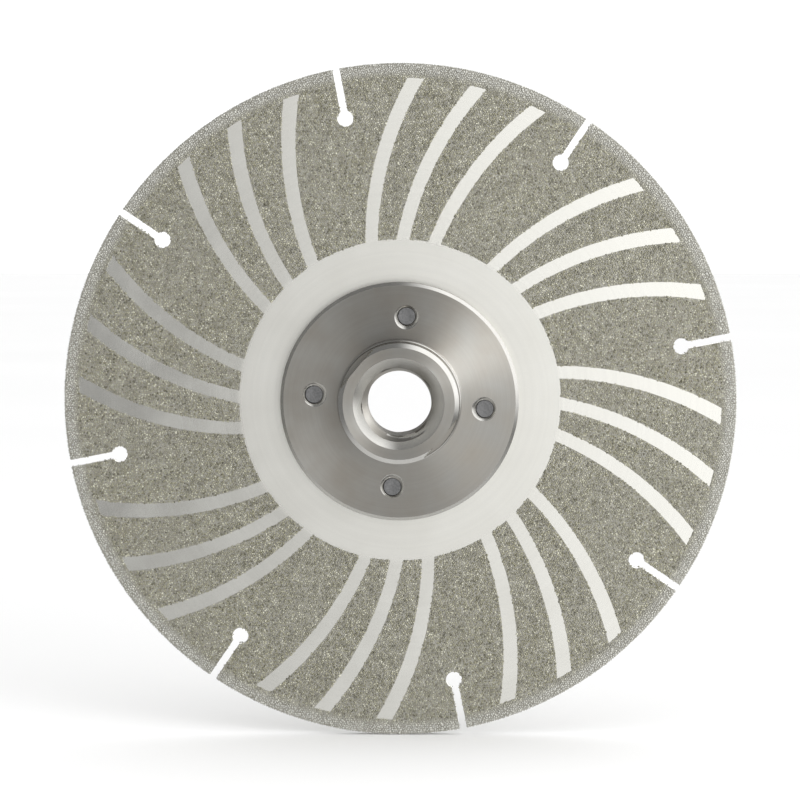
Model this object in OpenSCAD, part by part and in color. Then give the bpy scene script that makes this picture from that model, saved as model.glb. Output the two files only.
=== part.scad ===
// Electroplated diamond cutting and grinding disc with a demountable spindle flange.
//
// Everything is modelled about local Z: Z = 0 is the middle of the steel core and +Z is the side
// that faces the grinder. stand_up() then turns local +Z to -Y, so that the disc stands on its rim
// with its spin axis along Y and its top at +Z. Angles run counter-clockwise, seen from the flange.

/* [Disc] */
// Diameter of the disc over its grit
disc_d = 125; // [115:0.5:180]
// Thickness of the steel core
core_t = 2; // [1.8:0.1:2.2]
// Thickness of the electroplated nickel bond
bond_t = 0.12; // [0.08:0.01:0.2]
// Height that the diamond grains stand above the bond
grit_t = 0.22; // [0.1:0.01:0.3]
// Inner radius of the coating, as a share of the disc's radius
coat_in_share = 0.478; // [0.46:0.002:0.52]

/* [Coating pattern] */
// Number of like sectors round the disc, one rim slot in each
sector_count = 8; // [6:1:9]
// Number of bare curved channels in each sector
channel_count = 3; // [1:1:3]
// Width of a channel at the middle of its length
channel_w = 2.55; // [1.5:0.05:3]
// How far the two edge arcs of a channel are shifted, which widens it outwards
channel_flare = 0.38; // [0:0.02:0.6]
// Radius of a channel's centre line, as a share of the disc's radius
channel_arc_share = 0.9616; // [0.9:0.01:1.1]
// Distance of that arc's centre from the spin axis, as a share of the disc's radius
channel_centre_share = 0.995; // [0.93:0.005:1.1]
// Radius at which the channels end, as a share of the disc's radius
channel_tip_share = 0.955; // [0.92:0.005:0.97]
// Angle from a slot to the next channel, at the radius of the keyhole
channel_lead_a = 11.9; // [11:0.1:13]

/* [Rim slots] */
// Angle of the first slot
slot_a = 10.95; // [0:0.05:45]
// Width of a slot
slot_w = 1.35; // [0.8:0.05:2]
// Diameter of the keyhole at a slot's inner end
keyhole_d = 3; // [2.2:0.1:4]
// Radius of the keyhole's centre, as a share of the disc's radius
keyhole_share = 0.85; // [0.8:0.01:0.88]

/* [Core holes] */
// Diameter of the core's central bore
bore_d = 18; // [17:0.1:20]
// Diameter of the circle that all eight hub holes lie on
hub_pcd = 31.6; // [31:0.1:33]
// Angle of the first flange screw
screw_a = 85.2; // [0:0.1:90]
// Diameter of the four plain holes between the screws
plain_hole_d = 6.9; // [5:0.1:7]
// Diameter of a countersink at the back face
csk_d = 9.6; // [9.4:0.1:10]
// Diameter of a screw's clearance hole in the core
clear_d = 6.6; // [5.8:0.1:7]

/* [Flange] */
// Diameter of the flange plate
flange_d = 44; // [42:0.5:50]
// Thickness of the flange plate at its edge
flange_t = 5; // [4.8:0.1:5.5]
// How much higher the plate's conical front face is at the boss than at the edge
face_rise = 0.8; // [0:0.1:1]
// Diameter of the threaded boss
boss_d = 22; // [21:0.5:23]
// Height of the boss above the core's front face
boss_h = 13; // [12:0.5:16]
// Width across the two wrench flats
flats_w = 20; // [19:0.5:20.5]
// Direction that the first flat faces
flats_a = 140; // [0:1:180]
// Nominal diameter of the spindle thread
thread_d = 14; // [14:1:14]
// Pitch of the spindle thread
thread_pitch = 2; // [2:0.5:2]
// Diameter of the countersink at the thread's mouth
mouth_d = 16.7; // [15:0.1:17.5]

/* [Screws] */
// Nominal diameter of the four flange screws
screw_d = 4; // [4:0.5:4]
// Length of a screw with its head
screw_l = 6; // [5.6:0.1:6]
// Diameter of a screw's countersunk head
head_d = 8; // [7.6:0.1:8.4]
// Width across the flats of the hexagon socket
socket_w = 2.5; // [2:0.5:2.5]
// Depth of the hexagon socket
socket_depth = 1.5; // [1.2:0.1:1.6]

/* [Hidden] */
$fn = 96;
SCREW_COUNT = 4;

cut = 1;            // how far a cutting shape runs past the face it cuts
slide_fit = 0.03;   // radial clearance of a part that slides off another
seat_gap = 0.02;    // clearance between a screw's head and its countersink
recess = 0.1;       // how far the spigot stays below the back face

disc_r = disc_d / 2;
core_r = disc_r - bond_t - grit_t;
bond_r = disc_r - grit_t;
front_z = core_t / 2;
back_z = -core_t / 2;

coat_in_r = disc_r * coat_in_share;
channel_arc_r = disc_r * channel_arc_share;
channel_centre_r = disc_r * channel_centre_share;
channel_tip_r = disc_r * channel_tip_share;
keyhole_r = disc_r * keyhole_share;
channel_pitch_a = 360 / sector_count / (channel_count + 1);
channel_mid_r = (coat_in_r + channel_tip_r) / 2;

flange_edge_z = front_z + flange_t;
boss_top_z = front_z + boss_h;
spigot_z = back_z + recess;
spigot_r = bore_d / 2 - slide_fit;
rim_chamfer = 0.6;
boss_chamfer = 0.8;
boss_fillet = 0.8;
spigot_chamfer = 0.3;
edge_break = 0.2;   // chamfer of the plate's edge on the core's side
flat_ledge = 1;     // step between the conical face and the foot of a wrench flat

// Basic profile of an ISO metric thread
sharp_h = thread_pitch * sqrt(3) / 2;
thread_major_r = thread_d / 2;
thread_minor_r = thread_major_r - sharp_h * 5 / 8;
crest_w = thread_pitch / 4;
root_w = thread_pitch / 8;
back_chamfer = 0.7;
thread_from_z = spigot_z + back_chamfer;
thread_to_z = boss_top_z - (mouth_d / 2 - thread_minor_r);
groove_count = floor((thread_to_z - thread_from_z) / thread_pitch);
thread_land = (thread_to_z - thread_from_z - groove_count * thread_pitch + crest_w) / 2;

// Places along a screw, from the seat of its head in the countersink
head_r = head_d / 2;
head_land = 0.1;
cone_z = back_z + csk_d / 2 - seat_gap - head_r;
head_z = cone_z - head_land;
tip_z = head_z + screw_l;
tip_chamfer = 0.45;

screw_hole_r = screw_d / 2 + slide_fit;
hole_mouth_r = head_r - (front_z - cone_z) + seat_gap + slide_fit;
exit_chamfer = 0.2;
hole_exit_r = screw_hole_r + exit_chamfer;

// Angle between the direction of a channel's arc centre and its centre line at radius r
function channel_turn(r) =
    acos((r * r + channel_centre_r * channel_centre_r - channel_arc_r * channel_arc_r)
         / (2 * r * channel_centre_r));

// Slope of the flange's conical front face, and its height at radius r
face_slope_a = atan(face_rise / (flange_d / 2 - rim_chamfer - boss_d / 2));
function face_z(r) = flange_edge_z + (flange_d / 2 - rim_chamfer - r) * tan(face_slope_a);

// Places about Z that repeat: every slot, and every channel
function slot_angles() = [for (s = [0 : sector_count - 1]) slot_a + s * 360 / sector_count];
function channel_angles() =
    [for (a = slot_angles(), c = [0 : channel_count - 1]) a + channel_lead_a + c * channel_pitch_a];

module stand_up() {
    rotate([90, 0, 0]) children();
}

// Turns a front-face shape over to the back, so that each face looks the same from its own side
// and the slots still line up
module turn_over() {
    rotate(slot_a) rotate([180, 0, 0]) rotate(-slot_a) children();
}

module ring(outer_r, inner_r) {
    difference() {
        circle(outer_r);
        circle(inner_r);
    }
}

// One slot open at the rim, lying along +X
module slot_shape() {
    translate([keyhole_r, 0]) circle(d = keyhole_d);
    translate([keyhole_r, -slot_w / 2]) square([disc_r + cut - keyhole_r, slot_w]);
}

module all_slots() {
    for (a = slot_angles()) rotate(a) slot_shape();
}

// One curved channel between two arcs, crossing +X at the keyhole's radius. The arcs' centres
// are shifted apart along the channel's own direction, so that it widens outwards.
module channel_shape() {
    mid_turn = channel_turn(channel_mid_r);
    mid_x = channel_mid_r * cos(mid_turn) - channel_centre_r;
    mid_y = channel_mid_r * sin(mid_turn);
    along = channel_flare * [mid_y, -mid_x] / norm([mid_x, mid_y]);
    rotate(-channel_turn(keyhole_r))
        intersection() {
            ring(channel_tip_r, coat_in_r - cut);
            translate([-disc_r, 0]) square([2 * disc_r, disc_r]);
            difference() {
                translate([channel_centre_r, 0] + along) circle(channel_arc_r + channel_w / 2);
                translate([channel_centre_r, 0] - along) circle(channel_arc_r - channel_w / 2);
            }
        }
}

// The coated field of one face
module coat_shape(outer_r) {
    difference() {
        ring(outer_r, coat_in_r);
        for (a = channel_angles()) rotate(a) channel_shape();
        all_slots();
    }
}

// One face's coat layer, from a height above the core's front face
module coat_layer(from_t, thickness, outer_r) {
    translate([0, 0, front_z + from_t])
        linear_extrude(thickness) coat_shape(outer_r);
}

// The coat layer round the rim, split by the slots
module rim_layer(outer_r, inner_r, half_h) {
    translate([0, 0, -half_h])
        linear_extrude(2 * half_h)
            difference() {
                ring(outer_r, inner_r);
                all_slots();
            }
}

module at_screws() {
    for (i = [0 : SCREW_COUNT - 1]) rotate(screw_a + i * 360 / SCREW_COUNT)
        translate([hub_pcd / 2, 0, 0]) children();
}

// Cutter for one countersunk clearance hole, entered from the back face
module csk_hole() {
    depth = (csk_d - clear_d) / 2;
    translate([0, 0, back_z - cut]) cylinder(h = core_t + 2 * cut, d = clear_d);
    translate([0, 0, back_z - cut])
        cylinder(h = cut + depth, r1 = csk_d / 2 + cut, r2 = clear_d / 2);
}

module core_plate() {
    color("gainsboro") stand_up()
        difference() {
            translate([0, 0, back_z])
                linear_extrude(core_t)
                    difference() {
                        ring(core_r, bore_d / 2);
                        all_slots();
                        rotate(screw_a + 180 / SCREW_COUNT)
                            for (i = [0 : SCREW_COUNT - 1]) rotate(i * 360 / SCREW_COUNT)
                                translate([hub_pcd / 2, 0]) circle(d = plain_hole_d);
                    }
            at_screws() csk_hole();
        }
}

module nickel_bond_front() {
    color("darkgray") stand_up() coat_layer(0, bond_t, core_r);
}

module nickel_bond_back() {
    color("darkgray") stand_up() turn_over() coat_layer(0, bond_t, core_r);
}

module nickel_bond_rim() {
    color("darkgray") stand_up() rim_layer(bond_r, core_r, front_z + bond_t);
}

module diamond_grit_front() {
    color("#9a9a8c") stand_up() coat_layer(bond_t, grit_t, bond_r);
}

module diamond_grit_back() {
    color("#9a9a8c") stand_up() turn_over() coat_layer(bond_t, grit_t, bond_r);
}

module diamond_grit_rim() {
    color("#9a9a8c") stand_up() rim_layer(disc_r, bond_r, front_z + bond_t + grit_t);
}

// Fillet between the boss and the conical face, as a half section
module boss_fillet_shape() {
    b = boss_d / 2;
    centre = [b + boss_fillet, face_z(b + boss_fillet) + boss_fillet / cos(face_slope_a)];
    foot = centre - boss_fillet * [sin(face_slope_a), cos(face_slope_a)];
    difference() {
        polygon([[b, face_z(b)], foot, centre, [b, centre.y]]);
        translate(centre) circle(boss_fillet);
    }
}

// Turned outside of the flange: spigot, plate with a chamfered edge, conical face, filleted boss
module flange_turning() {
    r = flange_d / 2;
    b = boss_d / 2;
    rotate_extrude() {
        polygon([[0, spigot_z], [spigot_r - spigot_chamfer, spigot_z],
                 [spigot_r, spigot_z + spigot_chamfer],
                 [spigot_r, front_z], [r - edge_break, front_z], [r, front_z + edge_break],
                 [r, flange_edge_z - rim_chamfer], [r - rim_chamfer, flange_edge_z],
                 [b, face_z(b)], [b, boss_top_z - boss_chamfer],
                 [b - boss_chamfer, boss_top_z], [0, boss_top_z]]);
        boss_fillet_shape();
    }
}

// Cutter for the spindle thread: chamfered at the back, countersunk at the mouth, with grooves of
// the thread's depth and pitch between crest lands
module thread_bore() {
    half_open = (thread_pitch - crest_w) / 2;
    grooves = [for (i = [0 : groove_count - 1])
                   let (z = thread_from_z + thread_land + half_open + i * thread_pitch)
                   each [[thread_minor_r, z - half_open], [thread_major_r, z - root_w / 2],
                         [thread_major_r, z + root_w / 2], [thread_minor_r, z + half_open]]];
    rotate_extrude()
        polygon(concat([[0, spigot_z - cut],
                        [thread_minor_r + back_chamfer + cut, spigot_z - cut],
                        [thread_minor_r, thread_from_z]],
                       grooves,
                       [[thread_minor_r, thread_to_z],
                        [mouth_d / 2 + cut, boss_top_z + cut],
                        [0, boss_top_z + cut]]));
}

// Cutter for one screw's hole through the flange plate, with a wide mouth at the core's side
module flange_screw_hole() {
    exit_z = face_z(hub_pcd / 2);
    rotate_extrude()
        polygon([[0, front_z - cut],
                 [hole_mouth_r + cut, front_z - cut],
                 [screw_hole_r, front_z + hole_mouth_r - screw_hole_r],
                 [screw_hole_r, exit_z - hole_exit_r + screw_hole_r],
                 [hole_exit_r + cut, exit_z + cut],
                 [0, exit_z + cut]]);
}

module wrench_flats() {
    for (side = [0, 180]) rotate(flats_a + side)
        translate([flats_w / 2, -boss_d / 2, face_z(boss_d / 2) + flat_ledge])
            cube([boss_d, boss_d, boss_h]);
}

module flange_hub() {
    color("slategray") stand_up()
        difference() {
            flange_turning();
            thread_bore();
            at_screws() flange_screw_hole();
            wrench_flats();
        }
}

// One countersunk socket screw about Z, its head at the back
module screw() {
    r = screw_d / 2;
    difference() {
        rotate_extrude()
            polygon([[0, head_z], [head_r, head_z], [head_r, cone_z],
                     [r, cone_z + head_r - r], [r, tip_z - tip_chamfer],
                     [r - tip_chamfer, tip_z], [0, tip_z]]);
        translate([0, 0, head_z - cut])
            cylinder(h = socket_depth + cut, d = socket_w / cos(30), $fn = 6);
    }
}

module flange_screw(i) {
    color("dimgray") stand_up() rotate(screw_a + i * 360 / SCREW_COUNT)
        translate([hub_pcd / 2, 0, 0]) screw();
}

core_plate();
nickel_bond_front();
nickel_bond_back();
nickel_bond_rim();
diamond_grit_front();
diamond_grit_back();
diamond_grit_rim();
flange_hub();
flange_screw(0);  // flange_screw_1
flange_screw(1);  // flange_screw_2
flange_screw(2);  // flange_screw_3
flange_screw(3);  // flange_screw_4
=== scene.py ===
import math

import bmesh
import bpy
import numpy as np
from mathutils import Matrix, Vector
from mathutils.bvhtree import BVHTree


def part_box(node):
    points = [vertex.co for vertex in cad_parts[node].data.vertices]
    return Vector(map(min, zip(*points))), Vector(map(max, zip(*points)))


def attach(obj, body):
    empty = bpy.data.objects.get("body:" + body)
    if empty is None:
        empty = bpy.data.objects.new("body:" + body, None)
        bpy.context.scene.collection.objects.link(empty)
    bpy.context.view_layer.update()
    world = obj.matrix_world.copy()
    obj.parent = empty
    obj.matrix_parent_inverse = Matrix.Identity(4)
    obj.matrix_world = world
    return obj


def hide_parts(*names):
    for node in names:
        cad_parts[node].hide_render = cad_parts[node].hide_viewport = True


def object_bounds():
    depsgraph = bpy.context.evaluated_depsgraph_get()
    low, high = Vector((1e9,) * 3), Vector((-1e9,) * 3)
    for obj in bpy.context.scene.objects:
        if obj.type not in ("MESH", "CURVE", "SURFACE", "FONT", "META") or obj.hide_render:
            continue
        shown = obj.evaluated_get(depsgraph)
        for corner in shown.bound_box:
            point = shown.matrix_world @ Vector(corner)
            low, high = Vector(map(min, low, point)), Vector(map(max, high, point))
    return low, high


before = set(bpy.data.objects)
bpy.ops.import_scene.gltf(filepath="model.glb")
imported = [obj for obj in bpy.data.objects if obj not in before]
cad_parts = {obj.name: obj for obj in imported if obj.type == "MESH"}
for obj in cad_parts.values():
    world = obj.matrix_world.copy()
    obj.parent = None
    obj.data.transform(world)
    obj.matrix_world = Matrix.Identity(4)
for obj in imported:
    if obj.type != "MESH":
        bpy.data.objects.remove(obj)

# Looks of an electroplated diamond disc with a demountable spindle flange.
#
# The steel core and the nickel bond are the CAD nodes with metal materials. The diamond grit is
# rebuilt as separate crystals seated in the bond, and the flange and its screws are rebuilt with true
# helical threads. Turned parts are described about their own axis: r is a radius, and h is a height
# towards the grinder, which is -Y. Angles run counter-clockwise, seen from the grinder's side.
# Lengths are in metres.

cad_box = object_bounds()

MM = 0.001
TURN = 2 * math.pi
MERGE = 0.0005 * MM
SEED = 20
rng = np.random.default_rng(SEED)

# Sizes from the frame
core_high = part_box("core_plate")[1]
bond_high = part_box("nickel_bond_rim")[1]
grit_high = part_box("diamond_grit_rim")[1]
flange_low, flange_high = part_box("flange_hub")
CORE_R = core_high.x
BOND_R = bond_high.x
DISC_R = grit_high.x
CORE_HALF_T = core_high.y
BOND_HALF_T = bond_high.y
GRIT_T = grit_high.y - bond_high.y
BOND_T = bond_high.y - core_high.y
FLANGE_R = flange_high.x
BOSS_TOP_H = -flange_low.y
SPIGOT_H = -flange_high.y
FRONT_H = CORE_HALF_T

# Coating
SECTORS = 8
SLOT_A = math.radians(10.95)
COAT_IN_R = 0.478 * DISC_R
GRAIN_SPACING = 0.42 * MM
GRAIN_HALF = 0.185 * MM
GRAIN_SIZES = (0.78, 1.15)
GRAIN_STRETCH = (0.8, 1.2)
GRAIN_LIFT_MM = (0.01, 0.07)
CORNER_JITTER = 0.16
# Grains stay within these shares of the bond's and the grit's thickness
GRAIN_DEPTH = 0.95
GRAIN_TOP = 0.98
LATTICE_JITTER = 0.3
CELL_JITTER = (0.2, 0.8)
RAY_START = 10 * MM

# Flange
FLANGE_T = 5 * MM
FACE_RISE = 0.8 * MM
RIM_CHAMFER = 0.6 * MM
BOSS_R = 11 * MM
BOSS_CHAMFER = 0.8 * MM
BOSS_FILLET = 0.8 * MM
FLAT_R = 10 * MM
FLAT_LEDGE = 1 * MM
FLAT_A = math.radians(140)
SPIGOT_R = 8.97 * MM
SPIGOT_CHAMFER = 0.3 * MM
EDGE_BREAK = 0.2 * MM
MOUTH_R = 8.35 * MM
BACK_CHAMFER = 0.7 * MM
SPINDLE_D = 14 * MM
SPINDLE_PITCH = 2 * MM
FLANGE_STEPS = 240
FILLET_STEPS = 9
CHAMFER_STEPS = 5
FLANGE_CREASE = math.radians(24)
# A chamfer's normal along the axis is about cos 45 degrees
CHAMFER_LEAN = (0.6, 0.8)

# Screws
SCREWS = (1, 2, 3, 4)
SCREW_D = 4 * MM
SCREW_PITCH = 0.7 * MM
THREAD_GAP = 0.03 * MM
HEAD_LAND = 0.1 * MM
HEAD_BREAK = 0.05 * MM
TIP_CHAMFER = 0.45 * MM
TIP_DISH_R = 0.9 * MM
TIP_DISH = 0.06 * MM
SOCKET_W = 2.5 * MM
SOCKET_DEPTH = 1.5 * MM
SOCKET_CHAMFER = 0.15 * MM
SOCKET_RELIEF = 0.02 * MM
DRILL_POINT = 0.25 * MM
HOLE_EXIT_R = 2.23 * MM
SCREW_STEPS = 48
SCREW_CREASE = math.radians(12)
TAP_STEPS = 32
TAP_PAST = 1 * MM
TAP_CREASE = math.radians(30)

# Thread form: shares of the pitch that are flat at the minor and at the major radius
MINOR_FLAT = 1 / 4
MAJOR_FLAT = 1 / 8


# ---------------------------------------------------------------- meshes

def mesh_object(name, points, faces):
    """A new object from points (n, 3) and faces, each a tuple of point numbers."""
    mesh = bpy.data.meshes.new(name)
    mesh.from_pydata(points.tolist(), [], faces)
    mesh.update()
    piece = bpy.data.objects.new(name, mesh)
    bpy.context.scene.collection.objects.link(piece)
    return piece


def triangle_object(name, points, triangles):
    """The same for many thousands of triangles, given as an array (n, 3)."""
    mesh = bpy.data.meshes.new(name)
    mesh.vertices.add(len(points))
    mesh.vertices.foreach_set("co", points.astype(np.float32).ravel())
    mesh.loops.add(3 * len(triangles))
    mesh.loops.foreach_set("vertex_index", triangles.astype(np.int32).ravel())
    mesh.polygons.add(len(triangles))
    mesh.polygons.foreach_set("loop_start", np.arange(0, 3 * len(triangles), 3, dtype=np.int32))
    mesh.update(calc_edges=True)
    piece = bpy.data.objects.new(name, mesh)
    bpy.context.scene.collection.objects.link(piece)
    return piece


def finish_solid(piece, crease):
    """Merges doubled points, turns the faces outwards and keeps edges over the crease angle sharp."""
    shape = bmesh.new()
    shape.from_mesh(piece.data)
    bmesh.ops.remove_doubles(shape, verts=shape.verts, dist=MERGE)
    bmesh.ops.dissolve_degenerate(shape, edges=shape.edges, dist=MERGE)
    bmesh.ops.recalc_face_normals(shape, faces=shape.faces)
    for face in shape.faces:
        face.smooth = True
    for edge in shape.edges:
        edge.smooth = len(edge.link_faces) == 2 and edge.calc_face_angle() < crease
    shape.to_mesh(piece.data)
    shape.free()


def lathe_angles(count, extra=()):
    """Even angles round a turn, with some more at given places."""
    even = [i * TURN / count for i in range(count)]
    return np.array(sorted(even + [a % TURN for a in extra]))


def rings(path, angles):
    """Plain rings (r, h) for each point of a turned outline."""
    return [(np.full(len(angles), r), np.full(len(angles), h)) for r, h in path]


def flat_cut(ring, angles):
    """Cuts a ring back to the two wrench flats."""
    r, h = ring
    least_cos = 0.01
    reach = FLAT_R / np.maximum(np.abs(np.cos(angles - FLAT_A)), least_cos)
    return np.minimum(r, reach), h


def helix_rings(angles, profile, pitch, low, high, limit):
    """Rings that follow a right-hand thread from height low to high, and how many make a turn.

    profile lists (share of the pitch, radius) over one pitch, and limit(r, h) trims each radius.
    The turns past either end are pressed flat at that end's height."""
    shares = [share for share, radius in profile[:-1]]
    first = math.floor(low / pitch) - 2
    last = math.ceil(high / pitch) + 1
    made = []
    for turn in range(first, last):
        for share in shares:
            h = np.clip(pitch * (turn + share + angles / TURN), low, high)
            phase = (h / pitch - angles / TURN) % 1
            r = np.interp(phase, [p[0] for p in profile], [p[1] for p in profile])
            made.append((limit(r, h), h))
    return made, len(shares)


def thread_minor_r(diameter, pitch):
    """Minor radius of a 60 degree thread, cut to 5/8 of its sharp height."""
    return diameter / 2 - pitch * math.sqrt(3) / 2 * 5 / 8


def thread_profile(minor_r, major_r, flank_steps):
    """(share of the pitch, radius) over one pitch, from the middle of the minor radius's flat."""
    start = MINOR_FLAT / 2
    stop = 0.5 - MAJOR_FLAT / 2
    half = [(0, minor_r)]
    for i in range(flank_steps + 1):
        t = i / flank_steps
        half.append((start + t * (stop - start), minor_r + t * (major_r - minor_r)))
    mirrored = [(1 - share, radius) for share, radius in reversed(half)]
    return half + mirrored


def lathe(name, angles, before, thread, after, closed, centre=(0, 0)):
    """A solid from rings round an axis along Y. The middle rings may follow a thread.

    thread is (rings, rings to a turn). A closed outline joins the last ring to the first one."""
    helix, per_turn = thread
    all_rings = before + helix + after
    columns = len(angles)
    r = np.array([ring[0] for ring in all_rings])
    h = np.array([ring[1] for ring in all_rings])
    x = centre[0] + r * np.cos(angles)
    z = centre[1] + r * np.sin(angles)
    points = np.stack([x, -h, z], axis=2).reshape(-1, 3)
    first, last = len(before), len(before) + len(helix) - 1
    faces = []
    count = len(all_rings) if closed else len(all_rings) - 1
    for row in range(count):
        above = (row + 1) % len(all_rings)
        in_thread = first <= row < last
        for column in range(columns):
            beside = (column + 1) % columns
            step = per_turn if in_thread and beside == 0 else 0
            near = min(row + step, last) if step else row
            far = min(above + step, last) if step else above
            faces.append((row * columns + column, near * columns + beside,
                          far * columns + beside, above * columns + column))
    return mesh_object(name, points, faces)


# ---------------------------------------------------------------- turned parts

def face_height(r):
    """Height of the flange's conical front face at radius r."""
    outer_r = FLANGE_R - RIM_CHAMFER
    return FRONT_H + FLANGE_T + FACE_RISE * (outer_r - r) / (outer_r - BOSS_R)


def spindle_thread_rings(angles):
    """The flange's internal thread, from the chamfered back to the countersunk mouth."""
    major_r = SPINDLE_D / 2
    minor_r = thread_minor_r(SPINDLE_D, SPINDLE_PITCH)
    profile = thread_profile(minor_r, major_r, 4)
    mouth_h = BOSS_TOP_H - (MOUTH_R - major_r)

    def limit(r, h):
        mouth_cone = MOUTH_R - (BOSS_TOP_H - h)
        back_cone = minor_r + BACK_CHAMFER - (h - SPIGOT_H)
        return np.maximum(r, np.maximum(mouth_cone, back_cone))

    return helix_rings(angles, profile, SPINDLE_PITCH, SPIGOT_H, mouth_h, limit)


def flange_outline(angles):
    """Rings of the flange's outside, from its spigot to the countersunk mouth."""
    slope = math.atan(FACE_RISE / (FLANGE_R - RIM_CHAMFER - BOSS_R))
    fillet_r = BOSS_R + BOSS_FILLET
    fillet_h = face_height(fillet_r) + BOSS_FILLET / math.cos(slope)
    arc = [(fillet_r - BOSS_FILLET * math.sin(a), fillet_h - BOSS_FILLET * math.cos(a))
           for a in np.linspace(slope, math.pi / 2, FILLET_STEPS)]
    edge_h = FRONT_H + FLANGE_T
    ledge_h = face_height(BOSS_R) + FLAT_LEDGE
    plate = [(SPIGOT_R - SPIGOT_CHAMFER, SPIGOT_H), (SPIGOT_R, SPIGOT_H + SPIGOT_CHAMFER),
             (SPIGOT_R, FRONT_H), (FLANGE_R - EDGE_BREAK, FRONT_H), (FLANGE_R, FRONT_H + EDGE_BREAK),
             (FLANGE_R, edge_h - RIM_CHAMFER), (FLANGE_R - RIM_CHAMFER, edge_h)]
    boss = [(BOSS_R, ledge_h)]
    for t in np.linspace(0, 1, CHAMFER_STEPS):
        boss.append((BOSS_R - t * BOSS_CHAMFER, BOSS_TOP_H - (1 - t) * BOSS_CHAMFER))
    made = rings(plate + arc + [(BOSS_R, ledge_h)], angles)
    made += [flat_cut(ring, angles) for ring in rings(boss, angles)]
    return made + rings([(MOUTH_R, BOSS_TOP_H)], angles)


def screw_place(number):
    """Centre (x, z) of a screw, from its CAD node."""
    low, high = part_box(f"flange_screw_{number}")
    return (low.x + high.x) / 2, (low.z + high.z) / 2


def screw_thread(r_offset):
    """Profile of the screws' external thread, made wider by an offset."""
    minor_r = thread_minor_r(SCREW_D, SCREW_PITCH)
    return thread_profile(minor_r + r_offset, SCREW_D / 2 + r_offset, 2)


def tapped_hole_cutter(number):
    """A solid tap for one of the flange's screw holes: wide back mouth, thread, exit chamfer."""
    low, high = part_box(f"flange_screw_{number}")
    angles = lathe_angles(TAP_STEPS)
    head_r = (high.x - low.x) / 2
    cone_h = -high.y + HEAD_LAND
    exit_h = face_height(math.hypot(*screw_place(number)))
    mouth_r = head_r - (FRONT_H - cone_h) + 2 * THREAD_GAP
    seat_h = FRONT_H - TAP_PAST
    top_h = exit_h + TAP_PAST

    def limit(r, h):
        mouth_cone = mouth_r - (h - FRONT_H)
        exit_cone = HOLE_EXIT_R - (exit_h - h)
        return np.maximum(r, np.maximum(mouth_cone, exit_cone))

    thread = helix_rings(angles, screw_thread(THREAD_GAP), SCREW_PITCH, seat_h, top_h, limit)
    before = rings([(0, seat_h)], angles)
    after = rings([(0, top_h)], angles)
    cutter = lathe(f"tap_{number}", angles, before, thread, after, False, screw_place(number))
    finish_solid(cutter, TAP_CREASE)
    return cutter


def cut_away(piece, cutters):
    """Subtracts the cutters from a piece, and deletes them."""
    for cutter in cutters:
        hole = piece.modifiers.new("hole", "BOOLEAN")
        hole.object = cutter
        hole.solver = "EXACT"
    view = bpy.context.evaluated_depsgraph_get()
    mesh = bpy.data.meshes.new_from_object(piece.evaluated_get(view))
    piece.modifiers.clear()
    piece.data = mesh
    for cutter in cutters:
        bpy.data.objects.remove(cutter)


def make_flange():
    """The flange: outline and thread closed into a ring, with four tapped holes cut through."""
    half_flat = math.acos(FLAT_R / BOSS_R)
    corners = [FLAT_A + side * half_flat + turn for side in (-1, 1) for turn in (0, math.pi)]
    angles = lathe_angles(FLANGE_STEPS, corners)
    outside = list(reversed(flange_outline(angles)))
    piece = lathe("spindle_flange", angles, [], spindle_thread_rings(angles), outside, True)
    finish_solid(piece, FLANGE_CREASE)
    cut_away(piece, [tapped_hole_cutter(number) for number in SCREWS])
    finish_solid(piece, FLANGE_CREASE)
    return piece


def make_screw(number):
    """A countersunk socket screw with a rolled thread."""
    low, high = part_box(f"flange_screw_{number}")
    angles = lathe_angles(SCREW_STEPS)
    head_r = (high.x - low.x) / 2
    head_h = -high.y
    tip_h = -low.y
    cone_h = head_h + HEAD_LAND
    hexagon = SOCKET_W / 2 / np.cos((angles + math.pi / 6) % (math.pi / 3) - math.pi / 6)
    socket_h = head_h + SOCKET_DEPTH
    level = np.ones(len(angles))
    socket = rings([(0, socket_h + DRILL_POINT)], angles)
    socket += [(hexagon, level * socket_h), (hexagon, level * (head_h + SOCKET_CHAMFER))]
    head = rings([(SOCKET_W / math.sqrt(3) + SOCKET_RELIEF, head_h), (head_r - HEAD_BREAK, head_h),
                  (head_r, head_h + HEAD_BREAK)], angles)
    major_r = SCREW_D / 2

    def limit(r, h):
        head_cone = head_r - (h - cone_h)
        tip_cone = major_r - TIP_CHAMFER + (tip_h - h)
        return np.minimum(np.maximum(r, head_cone), tip_cone)

    thread = helix_rings(angles, screw_thread(0), SCREW_PITCH, cone_h, tip_h, limit)
    tip = rings([(TIP_DISH_R, tip_h), (0, tip_h - TIP_DISH)], angles)
    piece = lathe(f"socket_screw_{number}", angles, socket + head, thread, tip, False,
                  screw_place(number))
    finish_solid(piece, SCREW_CREASE)
    return piece


# ---------------------------------------------------------------- diamond grit

# Each form's corners lie at unit distance; its growth evens out the two forms' looks
CUBE_GROWTH = 1.05
OCTAHEDRON_GROWTH = 1.2
CUBE = np.array([[x, y, z] for x in (-1, 1) for y in (-1, 1) for z in (-1, 1)]) / math.sqrt(3)
CUBE_FACES = np.array([[0, 1, 3], [0, 3, 2], [4, 6, 7], [4, 7, 5], [0, 4, 5], [0, 5, 1],
                       [2, 3, 7], [2, 7, 6], [0, 2, 6], [0, 6, 4], [1, 5, 7], [1, 7, 3]])
OCTAHEDRON = np.array([[1, 0, 0], [-1, 0, 0], [0, 1, 0], [0, -1, 0], [0, 0, 1], [0, 0, -1]], float)
OCTAHEDRON_FACES = np.array([[0, 2, 4], [2, 1, 4], [1, 3, 4], [3, 0, 4],
                             [2, 0, 5], [1, 2, 5], [3, 1, 5], [0, 3, 5]])


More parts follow.
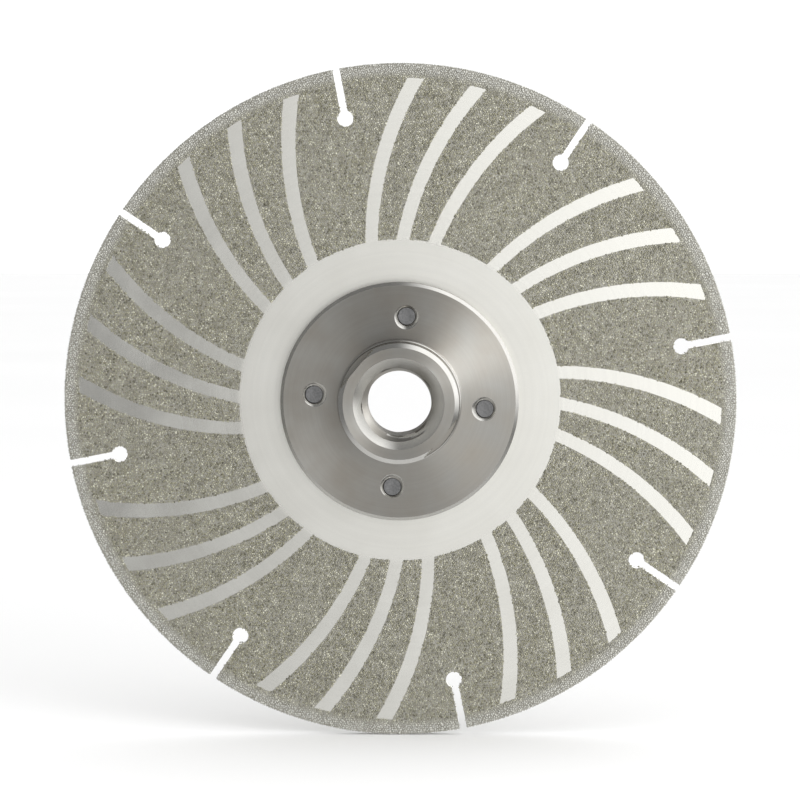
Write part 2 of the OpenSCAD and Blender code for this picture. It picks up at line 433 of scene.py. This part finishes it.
def random_turns(count):
    """Rotation matrices evenly spread over all directions."""
    q = rng.normal(size=(count, 4))
    w, x, y, z = (q / np.linalg.norm(q, axis=1)[:, None]).T
    rows = [[1 - 2 * (y * y + z * z), 2 * (x * y - w * z), 2 * (x * z + w * y)],
            [2 * (x * y + w * z), 1 - 2 * (x * x + z * z), 2 * (y * z - w * x)],
            [2 * (x * z - w * y), 2 * (y * z + w * x), 1 - 2 * (x * x + y * y)]]
    return np.array(rows).transpose(2, 0, 1)


def crystals(count, form, form_faces):
    """Points (count, corners, 3) of jittered crystals about the origin, and their triangles."""
    size = GRAIN_HALF * rng.uniform(*GRAIN_SIZES, (count, 1, 1))
    stretch = rng.uniform(*GRAIN_STRETCH, (count, 1, 3))
    jitter = rng.uniform(-CORNER_JITTER, CORNER_JITTER, (count, len(form), 3))
    local = (form + jitter) * stretch * size
    return np.einsum("nij,nkj->nki", random_turns(count), local), form_faces


def grit_object(name, seats, outward, side, node):
    """One field of grains, half cubes and half octahedra: an eighth of a CAD node's grit.

    seats (n, 3) lie on the bond, outward (n, 3) points away from it, and side flattens for baking."""
    half = len(seats) // 2
    points, triangles, base = [], [], 0
    order = rng.permutation(len(seats))
    forms = ((order[:half], CUBE, CUBE_FACES, CUBE_GROWTH),
             (order[half:], OCTAHEDRON, OCTAHEDRON_FACES, OCTAHEDRON_GROWTH))
    for picked, form, form_faces, growth in forms:
        shape, faces = crystals(len(picked), form, form_faces)
        shape = shape * growth
        out = outward[picked][:, None, :]
        height = (shape * out).sum(2, keepdims=True)
        lift = rng.uniform(*GRAIN_LIFT_MM, (len(picked), 1, 1)) * MM
        kept = np.clip(height + lift, -GRAIN_DEPTH * BOND_T, GRAIN_TOP * GRIT_T)
        shape = shape + (kept - height) * out + seats[picked][:, None, :]
        numbers = base + np.arange(len(picked))[:, None, None] * len(form) + faces
        points.append(shape.reshape(-1, 3))
        triangles.append(numbers.reshape(-1, 3))
        base += len(picked) * len(form)
    piece = triangle_object(name, np.concatenate(points), np.concatenate(triangles))
    bake_map(piece, side)
    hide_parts(node)
    return piece


def bake_map(piece, side):
    """A flat map over the field, so that baking doesn't have to unfold thousands of grains.

    side(points) gives each point's place (n, 2) on that map, to any scale."""
    mesh = piece.data
    co = np.zeros(3 * len(mesh.vertices), np.float32)
    mesh.vertices.foreach_get("co", co)
    co = co.reshape(-1, 3)
    flat = side(co)
    flat = (flat - flat.min(0)) / (flat.max(0) - flat.min(0))
    corner = np.zeros(len(mesh.loops), np.int32)
    mesh.loops.foreach_get("vertex_index", corner)
    layer = mesh.uv_layers.new(name="OFBake")
    layer.data.foreach_set("uv", flat[corner].astype(np.float32).ravel())


def sector_of(x, z):
    """Number of the sector, from 0, that a point lies in."""
    return (np.floor(((np.arctan2(z, x) - SLOT_A) % TURN) / (TURN / SECTORS))).astype(int)


def solid_of(node):
    """Search tree over a CAD node's faces."""
    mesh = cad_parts[node].data
    points = [vertex.co for vertex in mesh.vertices]
    return BVHTree.FromPolygons(points, [list(face.vertices) for face in mesh.polygons])


def face_lattice():
    """Jittered hexagonal lattice (x, z) over a disc face's coated ring."""
    steps = int(DISC_R / GRAIN_SPACING) + 2
    i, j = np.meshgrid(np.arange(-steps, steps + 1), np.arange(-steps * 2, steps * 2 + 1))
    x = (i + 0.5 * (j % 2)).ravel() * GRAIN_SPACING
    z = j.ravel() * GRAIN_SPACING * math.sqrt(3) / 2
    x = x + rng.uniform(-LATTICE_JITTER, LATTICE_JITTER, x.shape) * GRAIN_SPACING
    z = z + rng.uniform(-LATTICE_JITTER, LATTICE_JITTER, z.shape) * GRAIN_SPACING
    r = np.hypot(x, z)
    inside = (r > COAT_IN_R) & (r < CORE_R)
    return x[inside], z[inside]


def make_face_grit(side_name, sign):
    """Grains on one face; sign is -1 for the flange's side and 1 for the work face."""
    node = f"nickel_bond_{side_name}"
    tree = solid_of(node)
    x, z = face_lattice()
    ray = Vector((0, -sign, 0))
    start_y = sign * RAY_START
    inside = [tree.ray_cast(Vector((a, start_y, b)), ray)[0] is not None for a, b in zip(x, z)]
    x, z = x[inside], z[inside]
    sector = sector_of(x, z)
    made = []
    for number in range(SECTORS):
        mine = sector == number
        seats = np.stack([x[mine], np.full(mine.sum(), sign * BOND_HALF_T), z[mine]], axis=1)
        outward = np.tile([0.0, sign, 0.0], (len(seats), 1))
        made.append(grit_object(f"grains_{side_name}_{number + 1}", seats, outward,
                                lambda co: co[:, [0, 2]], f"diamond_grit_{side_name}"))
    return made


def make_rim_grit():
    """Grains round the rim, between the slots."""
    tree = solid_of("nickel_bond_rim")
    around = int(TURN * BOND_R / GRAIN_SPACING)
    across = int(2 * BOND_HALF_T / GRAIN_SPACING)
    i, j = np.meshgrid(np.arange(around), np.arange(across))
    a = (i + rng.uniform(*CELL_JITTER, i.shape)).ravel() * TURN / around
    y = ((j + rng.uniform(*CELL_JITTER, j.shape)).ravel() / across * 2 - 1) * BOND_HALF_T
    start_r = 2 * DISC_R
    reach = start_r - CORE_R + BOND_T
    inside = [tree.ray_cast(Vector((math.cos(t) * start_r, h, math.sin(t) * start_r)),
                            Vector((-math.cos(t), 0, -math.sin(t))), reach)[0] is not None
              for t, h in zip(a, y)]
    a, y = a[inside], y[inside]
    outward = np.stack([np.cos(a), np.zeros(len(a)), np.sin(a)], axis=1)
    seats = outward * BOND_R + np.stack([np.zeros(len(y)), y, np.zeros(len(y))], axis=1)
    sector = sector_of(seats[:, 0], seats[:, 2])
    made = []
    for number in range(SECTORS):
        mine = sector == number
        middle = SLOT_A + (number + 0.5) * TURN / SECTORS

        def unrolled(co):
            turn = (np.arctan2(co[:, 2], co[:, 0]) - middle + math.pi) % TURN
            return np.stack([turn * BOND_R, co[:, 1]], axis=1)

        made.append(grit_object(f"grains_rim_{number + 1}", seats[mine], outward[mine],
                                unrolled, "diamond_grit_rim"))
    return made


# ---------------------------------------------------------------- materials

class Nodes:
    """Short calls for making and linking the nodes of a tree."""

    def __init__(self, tree):
        self.tree = tree

    def node(self, kind, **settings):
        made = self.tree.nodes.new(kind)
        for key, value in settings.items():
            setattr(made, key, value)
        return made

    def link(self, source, target):
        self.tree.links.new(source, target)

    def value(self, socket, value):
        """Links a socket to a node's output, or sets it to a plain value."""
        if isinstance(value, bpy.types.NodeSocket):
            self.link(value, socket)
        else:
            socket.default_value = value

    def length(self, a, b):
        """Length of the plane vector (a, b)."""
        squares = self.math("ADD", self.math("POWER", a, 2.0), self.math("POWER", b, 2.0))
        return self.math("SQRT", squares)

    def math(self, operation, a, b=0.0, c=0.0):
        made = self.node("ShaderNodeMath", operation=operation)
        for socket, given in zip(made.inputs, (a, b, c)):
            self.value(socket, given)
        return made.outputs[0]

    def spread(self, source, low, high, start=0.35, stop=0.65, smooth=False):
        """Maps a source's range start ... stop to low ... high."""
        made = self.node("ShaderNodeMapRange")
        if smooth:
            made.interpolation_type = "SMOOTHSTEP"
        self.link(source, made.inputs["Value"])
        ends = (("From Min", start), ("From Max", stop), ("To Min", low), ("To Max", high))
        for key, given in ends:
            self.value(made.inputs[key], given)
        return made.outputs["Result"]

    def blend(self, share, a, b):
        """Plain value between a and b."""
        made = self.node("ShaderNodeMix")
        for socket, given in ((made.inputs[0], share), (made.inputs[2], a), (made.inputs[3], b)):
            self.value(socket, given)
        return made.outputs[0]


class Looks(Nodes):
    """A node material, with short calls for the patterns that the materials here share."""

    def __init__(self, name):
        self.material = bpy.data.materials.new(name)
        self.material.use_nodes = True
        super().__init__(self.material.node_tree)
        self.shader = self.tree.nodes["Principled BSDF"]
        self.place = self.node("ShaderNodeTexCoord").outputs["Object"]

    def axis_distance(self):
        """Distance of the shaded point from the spin axis, in metres."""
        split = self.node("ShaderNodeSeparateXYZ")
        self.link(self.place, split.inputs[0])
        return self.length(split.outputs[0], split.outputs[2])

    def noise(self, size, detail=2.0, roughness=0.5):
        """Noise whose features are about this size, in metres."""
        made = self.node("ShaderNodeTexNoise")
        self.link(self.place, made.inputs["Vector"])
        made.inputs["Scale"].default_value = 1 / size
        made.inputs["Detail"].default_value = detail
        made.inputs["Roughness"].default_value = roughness
        return made.outputs["Fac"]

    def ring_noise(self, size, detail=3.0):
        """Noise that only changes with the distance from the spin axis, like lathe marks."""
        made = self.node("ShaderNodeTexNoise", noise_dimensions="1D")
        self.link(self.axis_distance(), made.inputs["W"])
        made.inputs["Scale"].default_value = 1 / size
        made.inputs["Detail"].default_value = detail
        return made.outputs["Fac"]

    def ramp(self, source, stops):
        """Colour ramp; stops lists (position, (r, g, b))."""
        made = self.node("ShaderNodeValToRGB")
        self.link(source, made.inputs["Fac"])
        elements = made.color_ramp.elements
        while len(elements) < len(stops):
            elements.new(0.5)
        for element, (position, colour) in zip(elements, stops):
            element.position = position
            element.color = (*colour, 1)
        return made.outputs["Color"]

    def mix(self, share, a, b):
        """Colour between a and b; a mix node's colours are its inputs 6 and 7 and its output 2."""
        made = self.node("ShaderNodeMix", data_type="RGBA")
        self.value(made.inputs["Factor"], share)
        for socket, given in ((made.inputs[6], a), (made.inputs[7], b)):
            self.value(socket, given if isinstance(given, bpy.types.NodeSocket) else (*given, 1))
        return made.outputs[2]

    def bump(self, height, depth, strength=1.0, under=None):
        """Bump of a given depth in metres, over another bump if there is one."""
        made = self.node("ShaderNodeBump")
        made.inputs["Distance"].default_value = depth
        made.inputs["Strength"].default_value = strength
        self.link(height, made.inputs["Height"])
        if under is not None:
            self.link(under, made.inputs["Normal"])
        return made.outputs["Normal"]

    def tangent(self):
        """Direction round the spin axis, for turned metal."""
        return self.node("ShaderNodeTangent", direction_type="RADIAL", axis="Y").outputs[0]

    def set(self, **sockets):
        """Sets the shader's inputs; an underscore in a name stands for a space."""
        for key, given in sockets.items():
            socket = self.shader.inputs[key.replace("_", " ")]
            if isinstance(given, tuple):
                given = (*given, 1)
            self.value(socket, given)


def core_steel():
    """Bright ground steel: fine concentric marks on the hub, smoother in the channels."""
    look = Looks("core_steel")
    fade = 0.5 * MM
    in_channel = look.spread(look.axis_distance(), 0.0, 1.0, COAT_IN_R - fade, COAT_IN_R + fade)
    cloud = look.noise(9 * MM, 4.0)
    rings_made = look.ring_noise(0.12 * MM)
    sweeps = look.ring_noise(0.9 * MM, 2.0)
    grain = look.noise(0.25 * MM, 3.0)
    tint = look.ramp(cloud, [(0.3, (0.83, 0.82, 0.765)), (0.7, (0.88, 0.872, 0.82))])
    tint = look.mix(look.spread(grain, 0.0, 0.12), tint, (0.72, 0.71, 0.66))
    tint = look.mix(look.spread(sweeps, 0.0, 0.10, 0.4, 0.6), tint, (0.70, 0.69, 0.65))
    # The hub stays above 0.274: smoother metal counts as a mirror for the denoiser, and a hub
    # that is partly below it gets faint blotches.
    roughness = look.math("ADD", look.spread(in_channel, 0.295, 0.20, 0.0, 1.0),
                          look.spread(cloud, -0.015, 0.015))
    normal = look.bump(rings_made, 0.003 * MM, 0.6)
    normal = look.bump(grain, 0.003 * MM, 0.2, normal)
    look.set(Base_Color=tint, Metallic=1.0, Roughness=roughness, Normal=normal)
    return look.material


def nickel_bond():
    """Dull electroplated nickel with a nodular surface, seen between the grains."""
    look = Looks("nickel_bond")
    nodules = look.noise(0.16 * MM, 3.0, 0.6)
    patches = look.noise(1.4 * MM, 3.0)
    tint = look.ramp(patches, [(0.3, (0.30, 0.29, 0.25)), (0.7, (0.42, 0.41, 0.37))])
    look.set(Base_Color=tint, Metallic=0.8, Roughness=look.spread(nodules, 0.38, 0.6),
             Normal=look.bump(nodules, 0.05 * MM))
    return look.material


def diamond_grains():
    """Synthetic diamond: olive, grey and pale crystals with a few dark and a few bright ones, and a
    paler band at the rim that is a painted highlight.
    """
    look = Looks("diamond_grains")
    each = look.node("ShaderNodeNewGeometry").outputs["Random Per Island"]
    clumps = look.spread(look.noise(1.5 * MM, 3.0), 0.0, 1.0, 0.3, 0.7)
    pick = look.math("ADD", look.math("MULTIPLY", each, 0.66), look.math("MULTIPLY", clumps, 0.34))
    tint = look.ramp(pick, [(0.12, (0.085, 0.079, 0.046)), (0.30, (0.165, 0.156, 0.098)),
                            (0.50, (0.248, 0.236, 0.155)), (0.70, (0.335, 0.323, 0.232)),
                            (0.88, (0.52, 0.51, 0.41))])
    patches = look.noise(11 * MM, 3.0)
    tint = look.mix(look.spread(patches, 0.0, 0.22), tint, (0.275, 0.270, 0.240))
    # Painted highlight: grains near the outer edge are mixed towards a paler grey, standing in for
    # light caught by the coat's rounded edge.
    rim_painted_highlight = look.spread(look.axis_distance(), 0.0, 0.65, 0.955 * DISC_R, 0.975 * DISC_R)
    tint = look.mix(rim_painted_highlight, tint, (0.54, 0.54, 0.52))
    look.set(Base_Color=tint, Metallic=0.0, Roughness=look.spread(each, 0.25, 0.5, 0.0, 1.0),
             Specular_IOR_Level=0.7, IOR=1.8)
    return look.material


def turned_steel():
    """Lathe-turned steel: fine rings, a radial sheen and slight staining."""
    look = Looks("turned_steel")
    stain = look.noise(7 * MM, 3.0)
    marks = look.ring_noise(0.10 * MM)
    coarse = look.ring_noise(0.6 * MM, 2.0)
    tint = look.ramp(stain, [(0.3, (0.368, 0.342, 0.300)), (0.7, (0.430, 0.422, 0.396))])
    tint = look.mix(look.spread(marks, 0.0, 0.3), tint, (0.31, 0.305, 0.29))
    tint = look.mix(look.spread(coarse, 0.0, 0.09, 0.4, 0.6), tint, (0.27, 0.26, 0.24))
    normal = look.bump(marks, 0.003 * MM, 0.7)
    normal = look.bump(coarse, 0.004 * MM, 0.4, normal)
    look.set(Base_Color=tint, Metallic=1.0, Roughness=look.spread(stain, 0.30, 0.36),
             Anisotropic=0.85, Anisotropic_Rotation=0.25, Tangent=look.tangent(), Normal=normal)
    return look.material


def chamfer_fine_cut_and_highlight():
    """The flange's 45 degree chamfers: cut last with a fine feed, so they are smoother, and given a
    paler tint than the turned face, which is a painted highlight.
    """
    look = Looks("chamfer_fine_cut_and_highlight")
    stain = look.noise(4 * MM, 3.0)
    marks = look.ring_noise(0.08 * MM)
    # Painted highlight: the same steel as the turned face, made paler so that the chamfers read
    # brighter.
    tint = look.ramp(stain, [(0.3, (0.56, 0.55, 0.52)), (0.7, (0.63, 0.625, 0.60))])
    look.set(Base_Color=tint, Metallic=1.0, Roughness=look.spread(stain, 0.15, 0.21),
             Anisotropic=0.5, Anisotropic_Rotation=0.25, Tangent=look.tangent(),
             Normal=look.bump(marks, 0.001 * MM, 0.5))
    return look.material


def screw_steel():
    """Dull plated screw steel with small scuffs."""
    look = Looks("screw_steel")
    scuffs = look.noise(0.35 * MM, 4.0, 0.6)
    tint = look.ramp(scuffs, [(0.3, (0.16, 0.16, 0.162)), (0.7, (0.28, 0.28, 0.28))])
    look.set(Base_Color=tint, Metallic=1.0, Roughness=look.spread(scuffs, 0.28, 0.42),
             Normal=look.bump(scuffs, 0.01 * MM, 0.5))
    return look.material


def paint(piece, material):
    piece.data.materials.clear()
    piece.data.materials.append(material)


def paint_chamfers(piece, material):
    """Gives a second material, smoother steel with a painted highlight, to the front faces at about
    45 degrees to the spin axis.
    """
    piece.data.materials.append(material)
    for face in piece.data.polygons:
        if CHAMFER_LEAN[0] < -face.normal.y < CHAMFER_LEAN[1]:
            face.material_index = 1


# ---------------------------------------------------------------- stage

FLOOR_HALF = 6.0
DOME_LEVEL = 1.12
# Flat faces reflect the studio's middle: dark at the left, bright at the right. The tilt leans the
# border between them, and the fade is half its width.
STUDIO_DARK = 0.64
STUDIO_BRIGHT = 1.44
STUDIO_TILT = 0.45
STUDIO_FADE = 0.09
# Dark flags seen in reflections: centre across, centre up, half width, half height, brightness
STUDIO_FLAGS = ((-0.16, -0.045, 0.10, 0.105, 0.0),
                (-0.05, 0.48, 0.40, 0.35, 0.05))
FLAG_EDGE = (0.6, 1.2)
# Sloping faces reflect its sides: a window at the upper right and a pale table below
WINDOW_AIM = (0.8, 0.6)
WINDOW_LEVELS = (0.25, 1.7)
WINDOW_EDGE = (0.55, 0.9)
TABLE_LEVEL = 0.6
TABLE_EDGE = (-0.9, -0.2)
SIDES_EDGE = (0.55, 0.85)


def make_floor():
    """A wide pale floor under the disc's lowest point, with a soft unevenness in its colour."""
    corners = np.array([[-1, -1, 0], [1, -1, 0], [1, 1, 0], [-1, 1, 0]]) * FLOOR_HALF
    floor = mesh_object("studio_floor", corners, [(0, 1, 2, 3)])
    floor.location.z = cad_box[0].z
    look = Looks("studio_floor")
    tint = look.ramp(look.noise(0.4, 2.0), [(0.3, (0.88, 0.88, 0.88)), (0.7, (0.90, 0.90, 0.90))])
    look.set(Base_Color=tint, Roughness=0.9, Specular_IOR_Level=0.1)
    paint(floor, look.material)
    floor.visible_glossy = False


def area_light(name, place, width, height, power, glossy=True):
    """A soft box that faces the disc's centre; glossy says whether reflections see it."""
    data = bpy.data.lights.new(name, "AREA")
    data.shape = "RECTANGLE"
    data.size = width
    data.size_y = height
    data.energy = power
    light = bpy.data.objects.new(name, data)
    bpy.context.scene.collection.objects.link(light)
    light.location = place
    light.rotation_euler = (-Vector(place)).to_track_quat("-Z", "Y").to_euler()
    light.visible_camera = False
    light.visible_glossy = glossy


def make_world():
    """An even white dome for the camera and matt surfaces; reflections see a soft studio instead.

    across and up are a direction's X and Z, and depth is its Y, negative on the camera's side."""
    world = bpy.data.worlds.new("studio")
    bpy.context.scene.world = world
    world.use_nodes = True
    world.cycles.sampling_method = "NONE"
    nodes = Nodes(world.node_tree)
    split = nodes.node("ShaderNodeSeparateXYZ")
    nodes.link(nodes.node("ShaderNodeTexCoord").outputs["Generated"], split.inputs[0])
    across, depth, up = split.outputs
    tilted = nodes.math("MULTIPLY_ADD", up, STUDIO_TILT, across)
    studio = nodes.spread(tilted, STUDIO_DARK, STUDIO_BRIGHT, -STUDIO_FADE, STUDIO_FADE, smooth=True)
    for centre_x, centre_z, half_w, half_h, dark in STUDIO_FLAGS:
        dx = nodes.math("DIVIDE", nodes.math("SUBTRACT", across, centre_x), half_w)
        dz = nodes.math("DIVIDE", nodes.math("SUBTRACT", up, centre_z), half_h)
        inside = nodes.spread(nodes.length(dx, dz), 1.0, 0.0, *FLAG_EDGE, smooth=True)
        share = nodes.math("MULTIPLY", inside, nodes.math("LESS_THAN", depth, 0.0))
        studio = nodes.blend(share, studio, dark)
    aims = [nodes.math("MULTIPLY", way, share) for way, share in zip((across, up), WINDOW_AIM)]
    window = nodes.spread(nodes.math("ADD", *aims), *WINDOW_LEVELS, *WINDOW_EDGE, smooth=True)
    table = nodes.spread(up, TABLE_LEVEL, 0.0, *TABLE_EDGE, smooth=True)
    to_side = nodes.spread(nodes.length(across, up), 0.0, 1.0, *SIDES_EDGE, smooth=True)
    studio = nodes.blend(to_side, studio, nodes.math("ADD", window, table))
    rays = nodes.node("ShaderNodeLightPath")
    level = nodes.blend(rays.outputs["Is Glossy Ray"], DOME_LEVEL, studio)
    background = nodes.tree.nodes["Background"]
    background.inputs["Color"].default_value = (1, 1, 1, 1)
    nodes.link(level, background.inputs["Strength"])


def make_camera():
    """A long lens in front of the flange, slightly above the spin axis and to its right."""
    data = bpy.data.cameras.new("camera")
    data.lens = 150
    data.sensor_width = 36
    camera = bpy.data.objects.new("camera", data)
    bpy.context.scene.collection.objects.link(camera)
    elevation = math.radians(3)
    azimuth = math.radians(1)
    distance = 0.62
    back = Vector((math.sin(azimuth) * math.cos(elevation), -math.cos(azimuth) * math.cos(elevation),
                   math.sin(elevation)))
    camera.location = back * distance
    camera.rotation_euler = back.to_track_quat("Z", "Y").to_euler()
    bpy.context.scene.camera = camera


# ---------------------------------------------------------------- assembly

core_look, bond_look, grain_look = core_steel(), nickel_bond(), diamond_grains()
flange_look, chamfer_fine_cut_highlight_look, screw_look = turned_steel(), chamfer_fine_cut_and_highlight(), screw_steel()

paint(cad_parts["core_plate"], core_look)
for place in ("front", "back", "rim"):
    paint(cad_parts[f"nickel_bond_{place}"], bond_look)

for piece in make_face_grit("front", -1) + make_face_grit("back", 1) + make_rim_grit():
    paint(piece, grain_look)
    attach(piece, "disc")

flange = make_flange()
paint(flange, flange_look)
paint_chamfers(flange, chamfer_fine_cut_highlight_look)
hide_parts("flange_hub")
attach(flange, "flange")

for number in SCREWS:
    screw = make_screw(number)
    paint(screw, screw_look)
    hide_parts(f"flange_screw_{number}")
    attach(screw, f"screw_{number}")

make_floor()
make_world()
area_light("key", (0.62, -0.95, 0.33), width=0.55, height=0.42, power=2.35)
area_light("fill", (0.30, -0.30, -0.05), width=0.25, height=0.25, power=2.5, glossy=False)
make_camera()

bpy.context.scene.view_settings.view_transform = "Standard"
